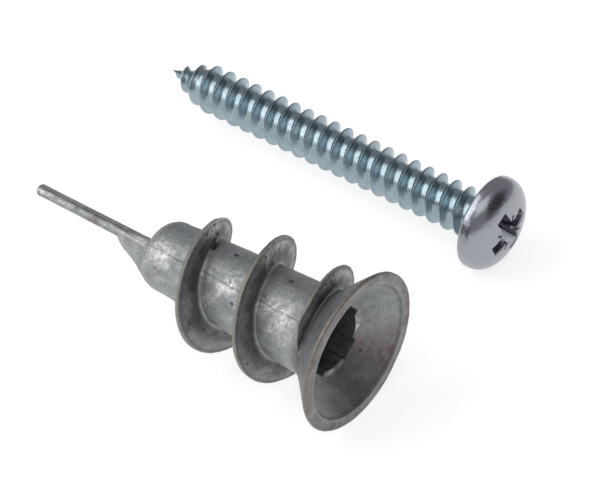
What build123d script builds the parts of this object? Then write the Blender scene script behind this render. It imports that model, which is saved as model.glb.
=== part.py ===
"""Self-drilling plasterboard anchor, die cast in zinc, with its pan-head screw lying beside it.

Frame: +X runs along the anchor's axis and out of its flange, +Z is up, and the origin is the
centre of the flange's front face, which is the plane of the board's surface. Both pieces are
modelled about their own local Z axis, nose or point down, and are then laid along X.
"""
from build123d import *
import os
from math import atan, cos, degrees, radians, tan

os.makedirs("parts", exist_ok=True)

# --- anchor, mm; heights are measured from the flange's front face, negative towards the tip ---
FLANGE_R = 6.8
RIM_THICKNESS = 0.4
RIM_BREAK = 0.1          # small radius that breaks the rim's two edges
LIP_WIDTH = 0.95         # flat ring around the dish
LIP_STEP = 0.22          # steep step from the lip down into the dish
DISH_DEPTH = 2.2
DISH_SAG = 0.18          # how far the dish wall bows below a straight cone

SHANK_R_TOP = 3.68       # under the flange
SHANK_TOP_Z = -4.1
SHANK_R_NOSE = 2.96
SHANK_NOSE_Z = -18.9
NOSE_SHOULDER_R = 2.1    # where the steep nose cone ends and the rounded shoulder begins
NOSE_SHOULDER_Z = -20.1
NOSE_APEX_Z = -21.3

PIN_R_BASE = 0.57
PIN_R_TIP = 0.51
PIN_TIP_Z = -32.8
PIN_ROOT_Z = -19.5
PIN_CHAMFER = 0.14

FLIGHT_PITCH = 5.8
FLIGHT_R = 5.72
FLIGHT_START_TURN = -120     # degrees about +X, measured from +Y, where the flight begins
FLIGHT_END_TURN = 884        # and where it runs out under the flange
FLIGHT_ZERO_Z = -16.55       # height of the flight where its angle is zero
FLIGHT_ROOT_WIDTH = 1.15
FLIGHT_CREST_WIDTH = 0.24
FLIGHT_ROOT_R = 2.5          # buried below the shank's surface
FLIGHT_LEAD_IN = 5.6         # axial length over which the flight grows to its full height
FLIGHT_RUN_OUT = 0.62

WING_TURN = 224          # degrees about +X, the side that the cutting wing stands on
WING_THICKNESS = 0.8
WING_TIP_Z = -24.0
WING_OUTLINE = [(-23.2, 1.08), (-22.35, 1.42), (-21.45, 1.78), (-20.45, 2.36), (-19.55, 2.8)]

RECESS_TURN = 40         # degrees about +X, direction of one wing of the cross recess
RECESS_SPAN_R = 2.95
RECESS_FLOOR_SPAN_R = 2.1
RECESS_WIDTH = 1.75
RECESS_FLOOR_WIDTH = 1.3
RECESS_DEPTH = 5.0
RECESS_MOUTH_R = 2.6     # conical lead-in between the wings
BORE_R = 1.65
BORE_END_Z = -18.4
DRILL_POINT_ANGLE = 59   # half angle of the bore's pointed end, degrees

# --- screw, mm; heights are measured from the bearing face under its head ---
SCREW_LENGTH = 33.3
THREAD_R = 2.1
ROOT_R = 1.48
THREAD_PITCH = 1.411
THREAD_BASE_WIDTH = 0.9
THREAD_CREST_WIDTH = 0.14
THREAD_ROOT_DEPTH = 0.12   # how far the thread's foot is sunk into the core
THREAD_GAP = 0.6           # plain stretch between the thread's end and the head
THREAD_TURN = -112         # degrees about +X, where the thread passes the top of the point
NECK_R = 2.15              # small cone under the head, just wider than the thread
NECK_HEIGHT = 0.45
POINT_LENGTH = 3.6
POINT_TURNS = 2            # turns of thread on the conical point
HEAD_R = 4.1
HEAD_HEIGHT = 2.6
HEAD_RIM_HEIGHT = 0.45
HEAD_RIM_BREAK = 0.2
HEAD_CROWN_R = 2.3       # radius of the flatter crown around the recess
CROSS_R = 2.2
CROSS_FLOOR_R = 1.15
CROSS_WIDTH = 1.3
CROSS_FLOOR_WIDTH = 0.9
CROSS_DEPTH = 2.1
CROSS_TURN = 27          # degrees about +X
TICK_R = 1.75            # four short grooves between the wings of the cross
TICK_WIDTH = 0.3
TICK_DEPTH = 0.5

# --- where the screw lies beside the anchor ---
SCREW_SEAT_X = -3.35
SCREW_OFFSET_Y = 21.75
SCREW_AXIS_Z = HEAD_R - FLANGE_R

BURIED = 0.3             # how far one body reaches into another before they are joined


def turned(solid, degrees_about_axis):
    """Turn a solid made along local +X to an angle that counts about +X from +Y once laid."""
    return solid.rotate(Axis.Z, degrees_about_axis + 90)


def laid(solid, x=0.0, y=0.0, z=0.0):
    """Lay a solid from its local Z axis onto a line along +X."""
    return Pos(x, y, z) * Rot(0, 90, 0) * solid


def revolved(outline):
    """Solid of revolution about Z of a closed outline in the XZ plane."""
    return revolve(Plane.XZ * make_face(outline), axis=Axis.Z)


def helical_rib(path, radius, depth, root_width, crest_width):
    """A rib of trapezoid section, swept along a helix that starts on local +X."""
    section = Polyline(
        (radius, -root_width / 2), (radius + depth, -crest_width / 2),
        (radius + depth, crest_width / 2), (radius, root_width / 2), close=True)
    return sweep(Plane.XZ * make_face(section), path=path, is_frenet=True)


def cross_tool(radius, width, floor_radius, floor_width, top_z, depth):
    """Two crossed tapered blades, the shape that a cross recess leaves."""
    blades = []
    for angle in (0, 90):
        mouth = Plane.XY.offset(top_z) * Rectangle(2 * radius, width)
        floor = Plane.XY.offset(top_z - depth) * Rectangle(2 * floor_radius, floor_width)
        blades.append(loft([floor, mouth]).rotate(Axis.Z, angle))
    return blades[0] + blades[1]


def anchor_casting():
    """Nose, conical shank and flared flange, turned about the axis."""
    rim_r = FLANGE_R - RIM_BREAK
    outline = Line((0, NOSE_APEX_Z), (NOSE_SHOULDER_R, NOSE_SHOULDER_Z))
    outline += ThreePointArc(
        (NOSE_SHOULDER_R, NOSE_SHOULDER_Z),
        (SHANK_R_NOSE - 0.22, SHANK_NOSE_Z - 0.62), (SHANK_R_NOSE, SHANK_NOSE_Z))
    outline += Line((SHANK_R_NOSE, SHANK_NOSE_Z), (SHANK_R_TOP, SHANK_TOP_Z))
    outline += ThreePointArc(
        (SHANK_R_TOP, SHANK_TOP_Z), (SHANK_R_TOP + 0.2, SHANK_TOP_Z + 0.75),
        (SHANK_R_TOP + 0.75, SHANK_TOP_Z + 1.45))
    outline += Polyline(
        (SHANK_R_TOP + 0.75, SHANK_TOP_Z + 1.45), (rim_r, -RIM_THICKNESS),
        (FLANGE_R, -RIM_THICKNESS + RIM_BREAK), (FLANGE_R, -RIM_BREAK), (rim_r, 0), (0, 0),
        (0, NOSE_APEX_Z))
    return revolved(outline)


def anchor_pin():
    """Thin tapered pilot pin that ends in a small chamfer."""
    outline = Polyline(
        (0, PIN_TIP_Z), (PIN_R_TIP - PIN_CHAMFER, PIN_TIP_Z), (PIN_R_TIP, PIN_TIP_Z + PIN_CHAMFER),
        (PIN_R_BASE, PIN_ROOT_Z), (0, PIN_ROOT_Z), (0, PIN_TIP_Z))
    return revolved(outline)


def cutting_wing():
    """Flat blade that joins the pin to the shank on one side, with an S-shaped outer edge."""
    edge = Spline((PIN_R_TIP, WING_TIP_Z), *[(r, z) for z, r in WING_OUTLINE],
                  (SHANK_R_NOSE, SHANK_NOSE_Z))
    rest = Polyline(
        (SHANK_R_NOSE, SHANK_NOSE_Z), (0, SHANK_NOSE_Z), (0, WING_TIP_Z - BURIED),
        (PIN_R_TIP, WING_TIP_Z))
    blade = extrude(Plane.XZ * make_face(edge + rest), WING_THICKNESS / 2, both=True)
    return turned(blade, WING_TURN)


def flight_envelope():
    """Solid of revolution that limits the flight: it grows from the nose and fades at the flange."""
    start_z = flight_z(FLIGHT_START_TURN)
    end_z = flight_z(FLIGHT_END_TURN)
    full_z = start_z + FLIGHT_LEAD_IN
    grown = Spline(
        (SHANK_R_NOSE - BURIED, start_z), (0.3 * SHANK_R_NOSE + 0.7 * FLIGHT_R, full_z - 2.5),
        (FLIGHT_R, full_z), tangents=[(1, 0.9), (0, 1)])
    faded = Polyline(
        (FLIGHT_R, full_z), (FLIGHT_R, end_z - FLIGHT_RUN_OUT), (SHANK_R_TOP - BURIED, end_z),
        (0, end_z), (0, start_z), (SHANK_R_NOSE - BURIED, start_z))
    return revolved(grown + faded)


def flight_z(turn):
    """Height of the flight's middle plane at an angle about +X."""
    return FLIGHT_ZERO_Z + FLIGHT_PITCH * turn / 360


def anchor_flight():
    """Coarse right-hand flight that cuts into the board."""
    spare = 40                       # degrees of extra rib past each end of the envelope
    first = FLIGHT_START_TURN - spare
    last = FLIGHT_END_TURN + spare
    height = FLIGHT_PITCH * (last - first) / 360
    rib = helical_rib(
        Helix(FLIGHT_PITCH, height, FLIGHT_ROOT_R), FLIGHT_ROOT_R,
        FLIGHT_R + BURIED - FLIGHT_ROOT_R, FLIGHT_ROOT_WIDTH, FLIGHT_CREST_WIDTH)
    return turned(Pos(0, 0, flight_z(first)) * rib, first) & flight_envelope()


def dish_tool():
    """Flared dish inside the lip, down to the mouth of the recess."""
    lip_r = FLANGE_R - RIM_BREAK - LIP_WIDTH
    step_r = lip_r - LIP_STEP / 2
    mouth_r = RECESS_SPAN_R + 0.1
    mid_r = (step_r + mouth_r) / 2 - DISH_SAG
    mid_z = (-LIP_STEP - DISH_DEPTH) / 2 - DISH_SAG
    outline = Line((lip_r, 0), (step_r, -LIP_STEP))
    outline += ThreePointArc((step_r, -LIP_STEP), (mid_r, mid_z), (mouth_r, -DISH_DEPTH))
    outline += Polyline((mouth_r, -DISH_DEPTH), (0, -DISH_DEPTH), (0, 1), (lip_r, 1), (lip_r, 0))
    return revolved(outline)


def drive_tool():
    """Cross recess, its conical lead-in and the blind screw bore below it."""
    cross = cross_tool(
        RECESS_SPAN_R, RECESS_WIDTH, RECESS_FLOOR_SPAN_R, RECESS_FLOOR_WIDTH, -DISH_DEPTH,
        RECESS_DEPTH)
    bore_point = BORE_R / tan(radians(DRILL_POINT_ANGLE))
    outline = Polyline(
        (0, -DISH_DEPTH), (RECESS_MOUTH_R, -DISH_DEPTH), (BORE_R, -DISH_DEPTH - RECESS_DEPTH),
        (BORE_R, BORE_END_Z), (0, BORE_END_Z - bore_point), (0, -DISH_DEPTH))
    return turned(cross, RECESS_TURN) + revolved(outline)


def anchor_body():
    casting = anchor_casting() + anchor_pin() + cutting_wing() + anchor_flight()
    return casting - dish_tool() - drive_tool()


def screw_core():
    """Plain core with its conical point, which reaches a little into the head."""
    outline = Polyline(
        (0, -SCREW_LENGTH), (ROOT_R, -SCREW_LENGTH + POINT_LENGTH), (ROOT_R, BURIED), (0, BURIED),
        (0, -SCREW_LENGTH))
    return revolved(outline)


def screw_head():
    """Pan head: a small neck, a flat bearing face, a rounded rim and a domed crown."""
    face_r = HEAD_R - HEAD_RIM_BREAK
    outline = Polyline(
        (0, -NECK_HEIGHT), (ROOT_R, -NECK_HEIGHT), (NECK_R, 0), (face_r, 0),
        (HEAD_R, HEAD_RIM_BREAK), (HEAD_R, HEAD_RIM_HEIGHT))
    outline += Spline(
        (HEAD_R, HEAD_RIM_HEIGHT), (HEAD_CROWN_R + 0.85, HEAD_HEIGHT - 0.72),
        (HEAD_CROWN_R, HEAD_HEIGHT - 0.2), (0, HEAD_HEIGHT), tangents=[(0, 1), (-1, 0)])
    outline += Line((0, HEAD_HEIGHT), (0, -NECK_HEIGHT))
    return revolved(outline)


def screw_drive():
    """Cross recess with four short grooves between its wings."""
    cross = cross_tool(
        CROSS_R, CROSS_WIDTH, CROSS_FLOOR_R, CROSS_FLOOR_WIDTH, HEAD_HEIGHT, CROSS_DEPTH)
    tool = turned(cross, CROSS_TURN)
    groove = Pos(0, 0, HEAD_HEIGHT) * Box(2 * TICK_R, TICK_WIDTH, 2 * TICK_DEPTH)
    for angle in (45, 135):
        tool += turned(groove, CROSS_TURN + angle)
    return tool


def screw_thread():
    """Right-hand thread: straight along the shank, and narrowing with the conical point."""
    foot_r = ROOT_R - THREAD_ROOT_DEPTH
    depth = THREAD_R - foot_r
    cone_z = POINT_LENGTH - SCREW_LENGTH
    straight = Helix(THREAD_PITCH, -THREAD_GAP - cone_z, foot_r)
    taper = atan(ROOT_R / POINT_LENGTH)
    cone_height = POINT_TURNS * THREAD_PITCH
    cone_r = foot_r - cone_height * tan(taper)
    conical = Helix(THREAD_PITCH / cos(taper), cone_height, cone_r, cone_angle=degrees(taper))
    shank_rib = helical_rib(straight, foot_r, depth, THREAD_BASE_WIDTH, THREAD_CREST_WIDTH)
    point_rib = helical_rib(conical, cone_r, depth, THREAD_BASE_WIDTH, THREAD_CREST_WIDTH)
    shank_rib = turned(Pos(0, 0, cone_z) * shank_rib, THREAD_TURN)
    point_rib = turned(Pos(0, 0, cone_z - cone_height) * point_rib, THREAD_TURN)
    return shank_rib, point_rib


def screw():
    shank_rib, point_rib = screw_thread()
    shank = screw_core() + shank_rib + point_rib
    return shank + (screw_head() - screw_drive())


export_step(laid(anchor_body()), "parts/anchor_body.step")
export_step(laid(screw(), SCREW_SEAT_X, SCREW_OFFSET_Y, SCREW_AXIS_Z), "parts/screw.step")
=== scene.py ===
from itertools import product
from math import cos, pi, radians, sin

import bmesh
import bpy
import numpy as np
from mathutils import Matrix, Vector


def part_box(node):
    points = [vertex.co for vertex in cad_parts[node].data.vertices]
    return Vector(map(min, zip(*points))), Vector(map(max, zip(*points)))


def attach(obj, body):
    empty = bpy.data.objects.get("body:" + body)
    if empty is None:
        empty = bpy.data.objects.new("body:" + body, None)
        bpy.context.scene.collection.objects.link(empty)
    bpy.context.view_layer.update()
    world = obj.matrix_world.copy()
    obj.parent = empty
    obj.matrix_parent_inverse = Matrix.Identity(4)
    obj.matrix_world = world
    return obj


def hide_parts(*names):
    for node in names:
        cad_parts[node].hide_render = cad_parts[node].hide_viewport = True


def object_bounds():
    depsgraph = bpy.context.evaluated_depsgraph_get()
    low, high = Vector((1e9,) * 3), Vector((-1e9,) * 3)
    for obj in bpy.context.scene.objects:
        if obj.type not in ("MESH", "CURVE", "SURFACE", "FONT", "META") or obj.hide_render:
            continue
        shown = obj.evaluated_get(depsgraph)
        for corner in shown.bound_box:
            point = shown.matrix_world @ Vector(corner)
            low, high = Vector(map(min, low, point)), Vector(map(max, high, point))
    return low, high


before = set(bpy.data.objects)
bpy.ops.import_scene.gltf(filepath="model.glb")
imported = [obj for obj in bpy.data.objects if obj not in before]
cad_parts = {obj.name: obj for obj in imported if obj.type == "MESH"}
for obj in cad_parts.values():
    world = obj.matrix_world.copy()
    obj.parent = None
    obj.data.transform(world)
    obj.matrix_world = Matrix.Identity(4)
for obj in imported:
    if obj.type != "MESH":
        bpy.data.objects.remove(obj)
cad_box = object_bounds()

# Meshes are built in millimetres and scaled to metres when they are done.
MM = 0.001

# --- the anchor: its axis is the frame's X axis, and its flange face lies at x = 0 ---
FLANGE_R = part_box("anchor_body")[1].z / MM
LIP_WIDTH = 0.95
SHANK_TOP_X = -4.1
SHANK_NOSE_X = -18.9
BODY_X = [SHANK_NOSE_X, SHANK_TOP_X, -3.35, -2.65, -0.4]
BODY_R = [2.96, 3.68, 3.88, 4.43, 6.7]
FLIGHT_PITCH = 5.8
FLIGHT_R = 5.72
FLIGHT_ZERO_X = -16.55       # where the flight is at turn 0, on the +Y side
FLIGHT_START_TURN = -120     # degrees about +X
FLIGHT_END_TURN = 884
FLIGHT_ROOT_WIDTH = 1.15
FLIGHT_GROWTH_X = [-18.48, -17.5, -16.5, -15.38, -14.2, -12.88]
FLIGHT_GROWTH_R = [2.96, 3.55, 4.28, 4.89, 5.42, FLIGHT_R]
DISH_R = FLANGE_R - LIP_WIDTH
SEAM_TURN = 131              # the die's parting line, on the side away from the screw

# --- the screw, which lies parallel to X ---
screw_low, screw_high = (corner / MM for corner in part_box("screw"))
HEAD_R = (screw_high.y - screw_low.y) / 2
SCREW_Y = (screw_high.y + screw_low.y) / 2
SCREW_Z = (screw_high.z + screw_low.z) / 2
SCREW_TIP_X = screw_low.x
HEAD_HEIGHT = 2.6
HEAD_RIM_HEIGHT = 0.45
SCREW_LENGTH = screw_high.x - SCREW_TIP_X - HEAD_HEIGHT
THREAD_PITCH = 1.411
THREAD_R = 2.1
THREAD_ROOT_R = 1.48
POINT_GROWTH_S = [0, 0.55, 1.0, 1.6, 2.2, 2.85, 3.6, 4.4]
POINT_GROWTH_R = [0, 0.16, 0.68, 1.0, 1.32, 1.62, 1.9, THREAD_R]
THREAD_TURN = 49.5           # degrees from +Y at which the thread leaves the point
THREAD_CREST_HALF = 0.04     # half the width of the crest's flat
THREAD_FLANK = 0.41          # width of one flank, from the crest down to the root
POINT_LENGTH = 3.6
NECK_HEIGHT = 0.45
NECK_R = 2.15
HEAD_RIM_BREAK = 0.2
CROSS_TURN = 27
CROSS_BAR = (2.2, 1.3, 1.15, 0.9, 2.1)      # half length, width, the same at the floor, depth
CROSS_TICK = (1.75, 0.3, 1.2, 0.2, 0.55)

# --- meshing ---
CASTING_VOXEL = 0.06
HEAD_VOXEL = 0.06
CASTING_FACES = 190000       # most triangles that the casting may keep

# --- where it is seen from, degrees and metres ---
VIEW_AZIMUTH = 37.7
VIEW_ELEVATION = 40.3
VIEW_DISTANCE = 0.2824
LOOK_AT = Vector((-11.92, 7.93, 0)) * MM


# ---------------------------------------------------------------- helpers

def smoothstep(low, high, value):
    t = np.clip((value - low) / (high - low), 0, 1)
    return t * t * (3 - 2 * t)


def field(points, size, seed, cells=24):
    """Smooth random values from about -1 to 1, with features of that size in mm."""
    lattice = np.random.default_rng(seed).uniform(-1, 1, (cells, cells, cells))
    place = points / size
    cell = np.floor(place).astype(int)
    t = place - cell
    t = t * t * (3 - 2 * t)
    total = np.zeros(len(points))
    for corner in product((0, 1), repeat=3):
        weight = np.prod(np.where(np.array(corner), t, 1 - t), axis=1)
        index = (cell + corner) % cells
        total += weight * lattice[index[:, 0], index[:, 1], index[:, 2]]
    return total


def points_of(mesh):
    flat = np.zeros(len(mesh.vertices) * 3)
    mesh.vertices.foreach_get("co", flat)
    return flat.reshape(-1, 3)


def normals_of(mesh):
    flat = np.zeros(len(mesh.vertices) * 3)
    mesh.vertices.foreach_get("normal", flat)
    return flat.reshape(-1, 3)


def set_points(mesh, points):
    mesh.vertices.foreach_set("co", points.ravel())
    mesh.update()


def store(mesh, name, values):
    """Keep one number per vertex, for the materials to read."""
    attribute = mesh.attributes.new(name, "FLOAT", "POINT")
    attribute.data.foreach_set("value", values.astype(np.float32))


def new_piece(name, mesh):
    piece = bpy.data.objects.new(name, mesh)
    bpy.context.scene.collection.objects.link(piece)
    return piece


def apply_modifiers(piece):
    depsgraph = bpy.context.evaluated_depsgraph_get()
    made = bpy.data.meshes.new_from_object(piece.evaluated_get(depsgraph))
    piece.modifiers.clear()
    piece.data = made


def remesh(piece, voxel, smoothing):
    """Rebuild the surface from small cubes and smooth it."""
    shell = piece.modifiers.new("shell", "REMESH")
    shell.mode = "VOXEL"
    shell.voxel_size = voxel
    soften = piece.modifiers.new("soften", "SMOOTH")
    soften.factor = 0.5
    soften.iterations = smoothing
    apply_modifiers(piece)


def soften_where(mesh, amount, rounds):
    """Draw vertices towards their neighbours' middle, as far as the amount at each one says."""
    edges = np.zeros(len(mesh.edges) * 2, dtype=np.int64)
    mesh.edges.foreach_get("vertices", edges)
    edges = edges.reshape(-1, 2)
    points = points_of(mesh)
    here, there = np.concatenate([edges, edges[:, ::-1]]).T
    count = np.bincount(here, minlength=len(points))
    for _ in range(rounds):
        middle = [np.bincount(here, points[there, axis], len(points)) / count for axis in range(3)]
        points += amount[:, None] * (np.stack(middle, axis=1) - points)
    set_points(mesh, points)


def thin_out(piece, faces):
    """Collapse edges until the piece has about that many triangles."""
    now = sum(len(p.vertices) - 2 for p in piece.data.polygons)
    if now > faces:
        thinner = piece.modifiers.new("thinner", "DECIMATE")
        thinner.ratio = faces / now
        apply_modifiers(piece)


def finish_piece(piece, body, node, material):
    """Scale a piece made in mm to metres, and give it its material and its place in the frame."""
    piece.data.transform(Matrix.Scale(MM, 4))
    for polygon in piece.data.polygons:
        polygon.use_smooth = True
    piece.data.materials.clear()
    piece.data.materials.append(material)
    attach(piece, body)
    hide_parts(node)


# ---------------------------------------------------------------- anchor shape

def body_radius(x):
    """Radius of the shank, and of the flare that joins it to the flange."""
    return np.interp(x, BODY_X, BODY_R)


def flight_radius(x):
    """Radius of the flight's crest, which grows from the nose."""
    return np.interp(x, FLIGHT_GROWTH_X, FLIGHT_GROWTH_R)


class AnchorPlaces:
    """Where each vertex lies on the anchor, in the anchor's own terms."""

    def __init__(self, points, normals):
        self.x = points[:, 0]
        self.r = np.hypot(points[:, 1], points[:, 2])
        self.turn = np.degrees(np.arctan2(points[:, 2], points[:, 1]))
        self.out = normals[:, 0]
        lap = np.round((self.x - FLIGHT_ZERO_X) / FLIGHT_PITCH - self.turn / 360)
        self.flight_turn = self.turn + 360 * lap
        self.from_flight = self.x - FLIGHT_ZERO_X - FLIGHT_PITCH * self.flight_turn / 360
        full = np.maximum(flight_radius(self.x - self.from_flight) - body_radius(self.x), 0.3)
        near = 1 - smoothstep(0.6, 1.0, np.abs(self.from_flight))
        along = (self.flight_turn > FLIGHT_START_TURN - 20) & (self.flight_turn < FLIGHT_END_TURN)
        clear = 1 - smoothstep(-2.7, -2.3, self.x)
        self.flight_height = (self.r - body_radius(self.x)) / full * near * along * clear

    def angle_from(self, turn):
        """Degrees about the axis from a turn, from -180 to 180."""
        return (self.turn - turn + 180) % 360 - 180


def pits(points, places, spots):
    """How deep each vertex lies in the round pits, from 0 to 1."""
    depth = np.zeros(len(points))
    for x, turn, r, size in spots:
        centre = np.array([x, r * cos(radians(turn)), r * sin(radians(turn))])
        away = np.linalg.norm(points - centre, axis=1)
        depth = np.maximum(depth, 1 - smoothstep(0.7 * size, 1.35 * size, away))
    return depth


def shank_spot(x, turn, size):
    return (x, turn, float(body_radius(x)), size)


def flight_spot(flight_turn, height, size):
    """A pit on the face of the flight that looks towards the flange."""
    x = FLIGHT_ZERO_X + FLIGHT_PITCH * flight_turn / 360
    r = float(body_radius(x) + height * (flight_radius(x) - body_radius(x)))
    thickness = 0.5 * (1 - height) + 0.13 * height
    return (x + thickness, flight_turn, r, size)


def dish_spot(turn, r, size):
    """A dark speck on the wall of the dish."""
    return (-0.35 - 0.74 * (DISH_R - r), turn, r, size)


PITS = [
    dish_spot(-44, 3.74, 0.2), dish_spot(-60, 3.2, 0.1), dish_spot(-127, 3.4, 0.1),
    dish_spot(12, 4.3, 0.08), dish_spot(4, 4.5, 0.09), dish_spot(20, 3.5, 0.08),
    shank_spot(-12.4, 82, 0.2), shank_spot(-6.9, 84, 0.2), shank_spot(-10.3, 152, 0.14),
    shank_spot(-13.6, 184, 0.16), shank_spot(-12.6, 176, 0.13), shank_spot(-8.1, 150, 0.12),
    shank_spot(-8.5, 190, 0.14), shank_spot(-7.4, 168, 0.1), shank_spot(-18.2, 160, 0.11),
    flight_spot(80, 0.9, 0.13), flight_spot(84, 0.7, 0.12), flight_spot(96, 0.8, 0.13),
    flight_spot(72, 0.35, 0.14), flight_spot(112, 0.5, 0.12), flight_spot(190, 0.6, 0.12),
    flight_spot(452, 0.75, 0.13), flight_spot(474, 0.55, 0.12), flight_spot(440, 0.2, 0.17),
    flight_spot(520, 0.4, 0.1), flight_spot(810, 0.7, 0.14), flight_spot(796, 0.35, 0.14),
    flight_spot(788, 0.3, 0.13), flight_spot(560, 0.7, 0.1), flight_spot(210, 0.3, 0.12),
    flight_spot(82, 0.04, 0.36), flight_spot(90, 0.0, 0.3), flight_spot(799, 0.61, 0.1),
    flight_spot(778, 0.08, 0.12), flight_spot(754, 0.05, 0.11), flight_spot(424, 0.56, 0.1),
]


def seam_lines(places):
    """The parting line as a narrow band, from 0 to 1, with a fainter short one beside it."""
    on_side = np.abs(places.flight_height) < 0.2
    offset = radians(1) * places.angle_from(SEAM_TURN) * places.r
    wander = 0.05 * np.sin(places.x * 1.3) + 0.03 * np.sin(places.x * 3.1)
    line = 1 - smoothstep(0.03, 0.11, np.abs(offset + wander))
    second = 1 - smoothstep(0.02, 0.09, np.abs(offset + 0.78 - 0.03 * (places.x + 11)))
    span = smoothstep(-12.4, -12.0, places.x) * (1 - smoothstep(-10.3, -9.9, places.x))
    body = places.x < SHANK_TOP_X + 1
    return line * on_side * body, 0.6 * second * span * on_side


def make_anchor():
    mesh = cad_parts["anchor_body"].data.copy()
    mesh.transform(Matrix.Scale(1 / MM, 4))
    piece = new_piece("anchor_casting", mesh)
    remesh(piece, CASTING_VOXEL, 7)

    points = points_of(piece.data)
    r = np.hypot(points[:, 1], points[:, 2])
    run_out = smoothstep(-5.2, -4.4, points[:, 0]) * (1 - smoothstep(-2.3, -1.9, points[:, 0]))
    run_out *= smoothstep(0.2, 0.5, r - body_radius(points[:, 0])) * (r < 6)
    soften_where(piece.data, 0.5 * run_out, 16)

    points, normals = points_of(piece.data), normals_of(piece.data)
    places = AnchorPlaces(points, normals)
    seam, second = seam_lines(places)
    outside = (places.r > 2.2) | (places.x < SHANK_NOSE_X) | (places.x > -2.4)
    swell = 0.022 * field(points, 1.6, 1) + 0.012 * field(points, 0.55, 2)
    grain = 0.011 * field(points, 0.2, 3)
    holes = -0.09 * pits(points, places, PITS)
    flash = -0.022 * seam - 0.012 * second
    ring_mask = (places.x > -2.3) & (places.r < DISH_R - 0.1) & (places.out > 0.3)
    rings = 0.004 * np.sin(places.r * 2 * pi / 0.19) * ring_mask
    moved = (swell + grain + holes + flash + rings) * outside
    moved *= 0.3 + 0.7 * smoothstep(-23.5, -21.5, places.x)
    margin = smoothstep(0, 0.12, FLANGE_R - places.r) * smoothstep(0, 0.1, -places.x)
    moved = np.where(moved > 0, moved * margin, moved)
    set_points(piece.data, points + normals * moved[:, None])
    thin_out(piece, CASTING_FACES)
    mark_anchor(piece.data)
    finish_piece(piece, "anchor", "anchor_body", casting_material())
    return piece


def bump_at(places, turn, spread):
    """1 at a turn about the axis, fading to 0 on both sides of it."""
    return np.exp(-((places.angle_from(turn) / spread) ** 2))


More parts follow.
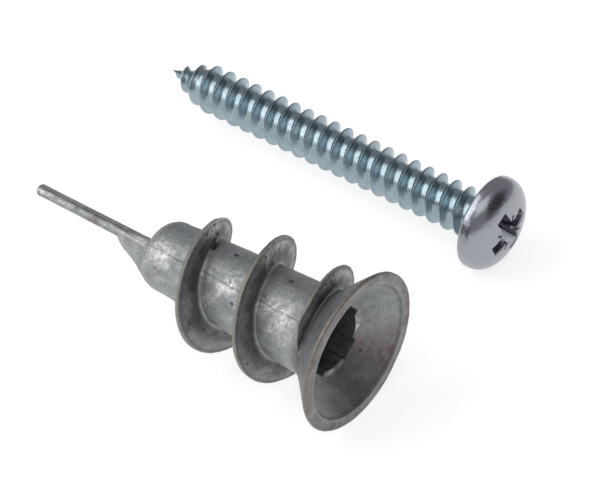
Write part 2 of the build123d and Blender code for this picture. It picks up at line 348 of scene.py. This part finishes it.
def mark_anchor(mesh):
    """Store where the casting is dark (sooty stain, pits, seams and painted shade), bright (burnished
    skin, painted highlights and painted light), brown or worn, for its material.
    """
    points, normals = points_of(mesh), normals_of(mesh)
    p = AnchorPlaces(points, normals)
    seam, second = seam_lines(p)
    on_flight = smoothstep(0.04, 0.16, p.flight_height)
    thin = 1 - smoothstep(0.1, 0.18, np.abs(p.from_flight))
    crest = smoothstep(0.93, 0.99, p.flight_height) * thin
    facing = smoothstep(0.3, 0.7, p.out) * on_flight
    patch = field(points, 1.1, 11) + 0.6 * field(points, 0.45, 12)

    # The flight's face towards the flange is darkened, most near its root and along its outer edge:
    # partly sooty stain, partly painted shade.
    low_in_face = 1 - smoothstep(0.25, 0.9, p.flight_height - 0.3 * patch)
    soot_and_shade = facing * (0.05 + 0.85 * low_in_face)
    edge = smoothstep(0.82, 0.9, p.flight_height) * (1 - smoothstep(0.92, 0.99, p.flight_height))
    soot_and_shade = np.maximum(soot_and_shade, 0.6 * edge * facing)
    # Painted shade on the surfaces next to the flange that face away from it.
    behind = smoothstep(0, 0.3, -p.out) * (1 - on_flight)
    soot_and_shade = np.maximum(soot_and_shade, 0.35 * behind * smoothstep(-4.2, -3.0, p.x))
    soot_and_shade = np.maximum(soot_and_shade, pits(points, p, PITS) * 1.2)
    soot_and_shade = np.maximum(soot_and_shade, 0.5 * seam + 0.35 * second)

    in_dish = smoothstep(0.1, 0.3, p.out) * (p.x > -2.3)
    in_dish = in_dish * (1 - smoothstep(DISH_R - 0.1, DISH_R, p.r))
    step = smoothstep(DISH_R - 0.3, DISH_R - 0.2, p.r)
    step = step * (1 - smoothstep(DISH_R - 0.05, DISH_R, p.r))
    # Painted shade on the lower side of the dish.
    dark_side = bump_at(p, -80, 44) * (0.7 + 0.3 * patch)
    soot_and_shade = np.maximum(soot_and_shade, in_dish * dark_side * 0.95)
    soot_and_shade += 0.14 * in_dish * np.sin(p.r * 2 * pi / 0.24)
    loop = np.hypot(radians(1) * p.angle_from(11) * 3.7, (p.r - 3.85) * 1.1) + 0.3 * patch
    stain = in_dish * (1 - smoothstep(0.05, 0.2, np.abs(loop - 0.72))) * (p.r > 3.3)
    soot_and_shade = np.maximum(soot_and_shade, 0.5 * stain * smoothstep(-0.7, 0.5, field(points, 0.3, 17)))
    soot_and_shade = np.maximum(soot_and_shade, 0.4 * step * (p.x > -0.6))
    lip = smoothstep(DISH_R, DISH_R + 0.1, p.r) * (p.x > -0.3)
    soot_and_shade = np.maximum(soot_and_shade, lip * (0.2 + 0.2 * patch + 0.3 * bump_at(p, -125, 45)))

    pin = 1 - smoothstep(-23.5, -22.5, p.x)
    soot_and_shade = np.maximum(soot_and_shade, pin * bump_at(p, 112, 13) * 0.9)

    # Pale blotches on the shank, on the side towards the key light: burnished skin, with a painted
    # highlight.
    side = bump_at(p, SEAM_TURN + 10, 30)
    bright = side * smoothstep(-0.7, 0.7, patch) * (1 - on_flight) * (1 - smoothstep(-4.6, -3.8, p.x))
    # Painted light: the pin's upper face is made paler.
    bright = np.maximum(bright, 0.5 * pin * bump_at(p, 88, 20))
    # Paler patches on the flight's faces near turns 70 and 232, partly painted light.
    upper = 0.75 * bump_at(p, 70, 55) * smoothstep(0.35, 0.7, p.flight_height)
    lower = 0.6 * bump_at(p, 232, 32) * smoothstep(-0.3, 0.6, patch)
    bright = np.maximum(bright, facing * np.maximum(upper, lower) * (1 - edge))
    # Painted highlights on the edges of the webs at the mouth of the bore; they also take away the
    # painted shade there.
    web = (p.r > 2.62) & (p.r < 3.0) & (p.x < -2.0)
    web_highlights = np.maximum(bump_at(p, -2, 20), 0.6 * bump_at(p, -98, 22)) * web
    web_highlights *= smoothstep(-0.6, 0.2, field(points, 0.35, 16)) * (p.x > -2.9)
    bright = np.maximum(bright, web_highlights)
    # Painted shade: the inside of the bore is made almost black.
    inside = (p.x < -2.3) & (p.x > -18.6) & (p.r < np.minimum(3.05, body_radius(p.x) - 0.35))
    soot_and_shade = np.where(inside, 0.92, soot_and_shade) * (1 - web_highlights)

    rim = smoothstep(FLANGE_R - 0.25, FLANGE_R - 0.08, p.r)
    brown = smoothstep(0.2, 1.0, field(points, 0.9, 14) + crest * 0.9)
    dish_brown = in_dish * np.maximum(bump_at(p, -38, 24), 0.7 * bump_at(p, -80, 40))
    brown = np.maximum(0.5 * brown, dish_brown)
    brown = np.maximum(brown, facing * (0.35 + 0.3 * patch))
    brown = np.maximum(brown, lip * (0.55 + 0.35 * patch))
    brown = np.maximum(brown, pin * smoothstep(0.0, 0.6, field(points, 0.5, 15)))
    # The dark marks hold sooty stain, pits, seams and stains together with painted shade in the dish,
    # the bore and along the flight.
    store(mesh, "soot_and_shade", np.clip(soot_and_shade, 0, 1.2))
    store(mesh, "bright", np.clip(bright, 0, 1))
    store(mesh, "brown", np.clip(brown + 0.6 * rim, 0, 1))
    store(mesh, "worn", np.clip(np.maximum(crest, rim * 0.6), 0, 1))


# ---------------------------------------------------------------- screw shape

def thread_crest(s):
    """Radius of the thread's crest at a distance from the point."""
    grown = np.interp(s, POINT_GROWTH_S, POINT_GROWTH_R)
    fade = smoothstep(SCREW_LENGTH - 1.5, SCREW_LENGTH - 0.5, s)
    return grown + (THREAD_ROOT_R - THREAD_R) * fade


def thread_root(s):
    """Radius of the core at a distance from the point."""
    return THREAD_ROOT_R * np.clip(s / POINT_LENGTH, 0, 1) ** 1.2


def make_shank():
    """The threaded shank, as one grid that winds with the thread, pointed at its tip."""
    per_turn, per_pitch = 72, 22
    end = SCREW_LENGTH + 0.3
    rows = int((end / THREAD_PITCH + 2) * per_turn)
    u = np.linspace(-1, 1, per_pitch + 1)
    across = 0.5 * THREAD_PITCH * np.sign(u) * np.abs(u) ** 1.35
    flank = np.clip((np.abs(across) - THREAD_CREST_HALF) / THREAD_FLANK, 0, 1)
    height = (1 - flank) ** 1.3
    vertices = []
    for row in range(rows):
        angle = 2 * pi * row / per_turn + radians(THREAD_TURN)
        s = np.clip(THREAD_PITCH * (row / per_turn - 1) + across, 0, end)
        root, crest = thread_root(s), thread_crest(s)
        r = root + np.maximum(crest - root, 0) * height
        r = np.where(s <= 0, 0, r)
        x = SCREW_TIP_X + s
        vertices += list(zip(x, SCREW_Y + r * cos(angle), SCREW_Z + r * sin(angle)))
    width = per_pitch + 1
    faces = []
    for row in range(rows - 1):
        for column in range(per_pitch):
            a = row * width + column
            faces.append((a, a + 1, a + width + 1, a + width))
    mesh = bpy.data.meshes.new("shank")
    mesh.from_pydata(vertices, [], faces)
    work = bmesh.new()
    work.from_mesh(mesh)
    bmesh.ops.remove_doubles(work, verts=work.verts, dist=0.0005)
    bmesh.ops.dissolve_degenerate(work, edges=work.edges, dist=0.0005)
    bmesh.ops.holes_fill(work, edges=[e for e in work.edges if e.is_boundary], sides=0)
    bmesh.ops.recalc_face_normals(work, faces=work.faces)
    work.to_mesh(mesh)
    work.free()
    return new_piece("shank", mesh)


def revolve_profile(name, profile, steps=96):
    """A closed solid turned about the screw's axis from (distance from the seat, radius) points."""
    seat = SCREW_TIP_X + SCREW_LENGTH
    work = bmesh.new()
    rings = []
    for s, r in profile:
        if r == 0:
            rings.append([work.verts.new((seat + s, SCREW_Y, SCREW_Z))])
            continue
        angles = [2 * pi * i / steps for i in range(steps)]
        rings.append([work.verts.new((seat + s, SCREW_Y + r * cos(a), SCREW_Z + r * sin(a)))
                      for a in angles])
    for first, second in zip(rings, rings[1:]):
        for i in range(steps):
            j = (i + 1) % steps
            corners = [first[i % len(first)], second[i % len(second)],
                       second[j % len(second)], first[j % len(first)]]
            work.faces.new(list(dict.fromkeys(corners)))
    bmesh.ops.recalc_face_normals(work, faces=work.faces)
    mesh = bpy.data.meshes.new(name)
    work.to_mesh(mesh)
    work.free()
    return new_piece(name, mesh)


def head_profile():
    """Outline of the neck and the domed head, from the axis below it to the axis on top."""
    edge = HEAD_RIM_BREAK
    profile = [(-NECK_HEIGHT, 0), (-NECK_HEIGHT, THREAD_ROOT_R), (0, NECK_R), (0, HEAD_R - edge)]
    profile += [(edge - edge * cos(a), HEAD_R - edge + edge * sin(a)) for a in (0.5, 1.05)]
    profile.append((edge, HEAD_R))
    power = 2 / 2.2
    steps = 24
    rise = HEAD_HEIGHT - HEAD_RIM_HEIGHT
    for step in range(steps + 1):
        a = pi / 2 * step / steps
        r = HEAD_R * max(cos(a), 0) ** power
        profile.append((HEAD_RIM_HEIGHT + rise * sin(a) ** power, r if step < steps else 0))
    return profile


def blade(length, width, floor_length, floor_width, depth, turn):
    """A tapered block that cuts one bar of the cross recess."""
    crown = SCREW_TIP_X + SCREW_LENGTH + HEAD_HEIGHT
    above = 0.4
    grow = 1 + above / depth * (length / floor_length - 1)
    levels = [(crown + above, length * grow, width), (crown - depth, floor_length, floor_width)]
    work = bmesh.new()
    corners = []
    for x, half_long, wide in levels:
        for i, j in ((-1, -1), (1, -1), (1, 1), (-1, 1)):
            a, b = i * half_long, j * wide / 2
            t = radians(turn)
            y, z = a * cos(t) - b * sin(t), a * sin(t) + b * cos(t)
            corners.append(work.verts.new((x, SCREW_Y + y, SCREW_Z + z)))
    for face in ((0, 1, 2, 3), (7, 6, 5, 4), (0, 4, 5, 1), (1, 5, 6, 2), (2, 6, 7, 3), (3, 7, 4, 0)):
        work.faces.new([corners[i] for i in face])
    bmesh.ops.recalc_face_normals(work, faces=work.faces)
    mesh = bpy.data.meshes.new("blade")
    work.to_mesh(mesh)
    work.free()
    return new_piece("blade", mesh)


def boolean(piece, other, operation):
    """Join another piece to this one, or cut it away, and delete the other."""
    joined = piece.modifiers.new("joined", "BOOLEAN")
    joined.operation = operation
    joined.solver = "EXACT"
    joined.object = other
    apply_modifiers(piece)
    bpy.data.objects.remove(other)


def make_screw():
    head = revolve_profile("pan_head", head_profile())
    for turn in (0, 90):
        boolean(head, blade(*CROSS_BAR, CROSS_TURN + turn), "DIFFERENCE")
    for turn in (45, 135):
        boolean(head, blade(*CROSS_TICK, CROSS_TURN + turn), "DIFFERENCE")
    remesh(head, HEAD_VOXEL, 3)
    piece = make_shank()
    boolean(piece, head, "UNION")
    piece.name = "pan_head_screw"
    points = points_of(piece.data)
    normals = normals_of(piece.data)
    ripple = 0.006 * field(points, 0.5, 31) + 0.003 * field(points, 0.2, 32)
    inside = smoothstep(0, 0.05, SCREW_TIP_X + SCREW_LENGTH + HEAD_HEIGHT - points[:, 0])
    ripple = np.where(ripple > 0, 0, ripple) * inside
    set_points(piece.data, points + normals * ripple[:, None])
    mark_screw(piece.data)
    finish_piece(piece, "screw", "screw", plated_material())
    return piece


def mark_screw(mesh):
    """Store which parts of the screw are valley, crest and head, for its material."""
    points = points_of(mesh)
    r = np.hypot(points[:, 1] - SCREW_Y, points[:, 2] - SCREW_Z)
    s = points[:, 0] - SCREW_TIP_X
    on_shank = 1 - smoothstep(SCREW_LENGTH - 0.6, SCREW_LENGTH - 0.2, s)
    valley = (1 - smoothstep(THREAD_ROOT_R, THREAD_ROOT_R + 0.35, r)) * on_shank
    crest = smoothstep(THREAD_R - 0.28, THREAD_R - 0.05, r) * on_shank
    store(mesh, "valley", valley)
    store(mesh, "crest", crest)
    store(mesh, "head", 1 - on_shank)


# ---------------------------------------------------------------- materials

class Nodes:
    """Short ways to add and join shader nodes."""

    def __init__(self, name):
        self.material = bpy.data.materials.new(name)
        self.material.use_nodes = True
        self.tree = self.material.node_tree
        self.shader = self.tree.nodes["Principled BSDF"]
        self.where = self.tree.nodes.new("ShaderNodeTexCoord").outputs["Object"]

    def link(self, source, target):
        self.tree.links.new(source, target)

    def attribute(self, name):
        node = self.tree.nodes.new("ShaderNodeAttribute")
        node.attribute_name = name
        return node.outputs["Fac"]

    def noise(self, size, detail=3.0, roughness=0.55):
        node = self.tree.nodes.new("ShaderNodeTexNoise")
        node.inputs["Scale"].default_value = 1 / (size * MM)
        node.inputs["Detail"].default_value = detail
        node.inputs["Roughness"].default_value = roughness
        self.link(self.where, node.inputs["Vector"])
        return node.outputs["Fac"]

    def ramp(self, value, *stops):
        node = self.tree.nodes.new("ShaderNodeValToRGB")
        elements = node.color_ramp.elements
        while len(elements) < len(stops):
            elements.new(0.5)
        for element, (place, colour) in zip(elements, stops):
            element.position = place
            element.color = (*colour, 1)
        self.link(value, node.inputs["Fac"])
        return node.outputs["Color"]

    def math(self, operation, first, second):
        node = self.tree.nodes.new("ShaderNodeMath")
        node.operation = operation
        for socket, value in zip(node.inputs, (first, second)):
            if isinstance(value, (int, float)):
                socket.default_value = value
            else:
                self.link(value, socket)
        return node.outputs[0]

    def mix(self, amount, first, second):
        node = self.tree.nodes.new("ShaderNodeMix")
        node.data_type = "RGBA"
        node.clamp_factor = True
        self.link(amount, node.inputs[0])
        for socket, value in ((node.inputs[6], first), (node.inputs[7], second)):
            if isinstance(value, tuple):
                socket.default_value = (*value, 1)
            else:
                self.link(value, socket)
        return node.outputs[2]

    def remap(self, value, low, high, to_low, to_high):
        node = self.tree.nodes.new("ShaderNodeMapRange")
        self.link(value, node.inputs["Value"])
        for name, number in (("From Min", low), ("From Max", high), ("To Min", to_low),
                             ("To Max", to_high)):
            node.inputs[name].default_value = number
        return node.outputs["Result"]

    def bump(self, height, depth, before=None):
        node = self.tree.nodes.new("ShaderNodeBump")
        node.inputs["Strength"].default_value = 1.0
        node.inputs["Distance"].default_value = depth * MM
        self.link(height, node.inputs["Height"])
        if before is not None:
            self.link(before, node.inputs["Normal"])
        return node.outputs["Normal"]


def casting_material():
    """Grey zinc alloy as cast: mottled skin, roots and hollows darkened by sooty stain and painted
    shade, pale burnished patches with painted highlights and painted light, brown tint and worn
    edges.
    """
    n = Nodes("zinc_casting")
    mottle = n.noise(0.8, 5.0, 0.65)
    fine = n.noise(0.13, 3.0, 0.7)
    colour = n.ramp(mottle, (0.32, (0.18, 0.20, 0.205)), (0.5, (0.29, 0.31, 0.315)),
                    (0.7, (0.41, 0.43, 0.43)))
    grey = n.ramp(fine, (0.34, (0.14, 0.15, 0.155)), (0.66, (0.46, 0.475, 0.475)))
    half = n.remap(fine, 0, 1, 0.4, 0.6)
    colour = n.mix(half, colour, grey)
    brown = n.math("MULTIPLY", n.attribute("brown"), n.remap(n.noise(0.4, 4.0), 0.35, 0.62, 0.25, 1))
    colour = n.mix(brown, colour, (0.205, 0.14, 0.135))
    blotch = n.remap(n.noise(0.35, 5.0, 0.7), 0.4, 0.62, 0.1, 1)
    bright = n.math("MULTIPLY", n.attribute("bright"), blotch)
    # Pale colour for burnished patches, and for painted highlights and painted light.
    colour = n.mix(bright, colour, (0.70, 0.71, 0.665))
    soot_and_shade = n.math("MULTIPLY", n.attribute("soot_and_shade"), n.remap(mottle, 0.3, 0.7, 0.95, 0.6))
    # Dark colour for sooty stain, pits and seams, and for painted shade.
    colour = n.mix(soot_and_shade, colour, (0.055, 0.052, 0.056))
    colour = n.mix(n.remap(n.noise(0.11, 2.0), 0.63, 0.72, 0, 0.6), colour, (0.08, 0.078, 0.08))
    colour = n.mix(n.math("MULTIPLY", n.attribute("worn"), 0.6), colour, (0.27, 0.25, 0.19))
    n.link(colour, n.shader.inputs["Base Color"])
    n.shader.inputs["Metallic"].default_value = 0.8
    rough = n.remap(fine, 0.3, 0.7, 0.42, 0.6)
    burnished = n.math("MULTIPLY", bright, 0.2)
    n.link(n.math("SUBTRACT", rough, burnished), n.shader.inputs["Roughness"])
    skin = n.bump(n.noise(0.25, 5.0, 0.7), 0.035)
    n.link(n.bump(fine, 0.025, skin), n.shader.inputs["Normal"])
    return n.material


def plated_material():
    """Bright zinc plating with a blue tint, darker and greener down in the thread, with painted shade
    along the crests.
    """
    n = Nodes("plated_steel")
    film = n.noise(1.4, 3.0)
    colour = n.ramp(film, (0.35, (0.28, 0.37, 0.42)), (0.65, (0.35, 0.43, 0.47)))
    valley = n.math("MULTIPLY", n.attribute("valley"), n.remap(n.noise(0.4), 0.3, 0.7, 0.1, 0.4))
    colour = n.mix(valley, colour, (0.20, 0.27, 0.28))
    # Painted shade: the thread's crest is darkened.
    colour = n.mix(n.math("MULTIPLY", n.attribute("crest"), 0.25), colour, (0.16, 0.19, 0.20))
    head = n.math("MULTIPLY", n.attribute("head"), 0.9)
    colour = n.mix(head, colour, (0.335, 0.335, 0.375))
    n.link(colour, n.shader.inputs["Base Color"])
    n.shader.inputs["Metallic"].default_value = 1.0
    satin = n.remap(n.noise(0.25, 3.0), 0.3, 0.7, 0.23, 0.35)
    n.link(n.math("SUBTRACT", satin, n.math("MULTIPLY", n.attribute("head"), 0.03)),
           n.shader.inputs["Roughness"])
    n.link(n.bump(n.noise(0.3, 3.0), 0.008), n.shader.inputs["Normal"])
    return n.material


def floor_material():
    n = Nodes("floor")
    colour = n.ramp(n.noise(40, 2.0), (0.3, (0.45, 0.45, 0.45)), (0.7, (0.47, 0.47, 0.47)))
    n.link(colour, n.shader.inputs["Base Color"])
    n.shader.inputs["Roughness"].default_value = 0.9
    n.shader.inputs["Emission Color"].default_value = (1, 1, 1, 1)
    n.shader.inputs["Emission Strength"].default_value = 0.74
    return n.material


# ---------------------------------------------------------------- studio

def make_floor():
    size = 1.2
    mesh = bpy.data.meshes.new("floor")
    z = cad_box[0][2]
    mesh.from_pydata([(-size, -size, z), (size, -size, z), (size, size, z), (-size, size, z)],
                     [], [(0, 1, 2, 3)])
    mesh.materials.append(floor_material())
    new_piece("floor", mesh)


def direction(azimuth, elevation):
    """Unit vector from the object towards a viewer at that azimuth and elevation."""
    a, e = radians(azimuth), radians(elevation)
    return Vector((sin(a) * cos(e), -cos(a) * cos(e), sin(e)))


def aim(thing, place, target):
    thing.location = place
    thing.rotation_euler = (target - place).to_track_quat("-Z", "Y").to_euler()


def add_light(name, azimuth, elevation, distance, size, power):
    lamp = bpy.data.lights.new(name, "AREA")
    lamp.shape = "RECTANGLE"
    lamp.size, lamp.size_y = size
    lamp.energy = power
    thing = bpy.data.objects.new(name, lamp)
    bpy.context.scene.collection.objects.link(thing)
    aim(thing, LOOK_AT + direction(azimuth, elevation) * distance, LOOK_AT)


def make_camera():
    lens = bpy.data.cameras.new("camera")
    lens.sensor_width = 36
    lens.lens = 210
    lens.clip_start = 0.01
    camera = bpy.data.objects.new("camera", lens)
    bpy.context.scene.collection.objects.link(camera)
    aim(camera, LOOK_AT + direction(VIEW_AZIMUTH, VIEW_ELEVATION) * VIEW_DISTANCE, LOOK_AT)
    bpy.context.scene.camera = camera


def make_surroundings():
    """An even grey room that is darker on the side the flange faces."""
    world = bpy.data.worlds.new("studio")
    world.use_nodes = True
    tree = world.node_tree
    where = tree.nodes.new("ShaderNodeTexCoord")
    along = tree.nodes.new("ShaderNodeVectorMath")
    along.operation = "DOT_PRODUCT"
    along.inputs[1].default_value = (0.85, 0.35, 0.39)
    shade = tree.nodes.new("ShaderNodeValToRGB")
    light, dark = shade.color_ramp.elements
    light.position, light.color = 0.81, (0.8, 0.8, 0.84, 1)
    dark.position, dark.color = 0.95, (0.14, 0.11, 0.11, 1)
    background = tree.nodes["Background"]
    tree.links.new(where.outputs["Generated"], along.inputs[0])
    tree.links.new(along.outputs["Value"], shade.inputs["Fac"])
    tree.links.new(shade.outputs["Color"], background.inputs["Color"])
    background.inputs["Strength"].default_value = 0.45
    bpy.context.scene.world = world


def make_studio():
    make_floor()
    make_camera()
    add_light("key_low", -40, 42, 0.5, (0.26, 0.36), 0.66)
    add_light("key_high", -77, 61, 0.5, (0.2, 0.1), 0.18)
    add_light("fill_left", -30, 17, 0.5, (0.5, 0.22), 0.34)
    add_light("overhead", 45, 66, 0.8, (0.7, 0.6), 1.3)
    make_surroundings()
    bpy.context.scene.view_settings.view_transform = "Standard"


make_studio()
make_anchor()
make_screw()
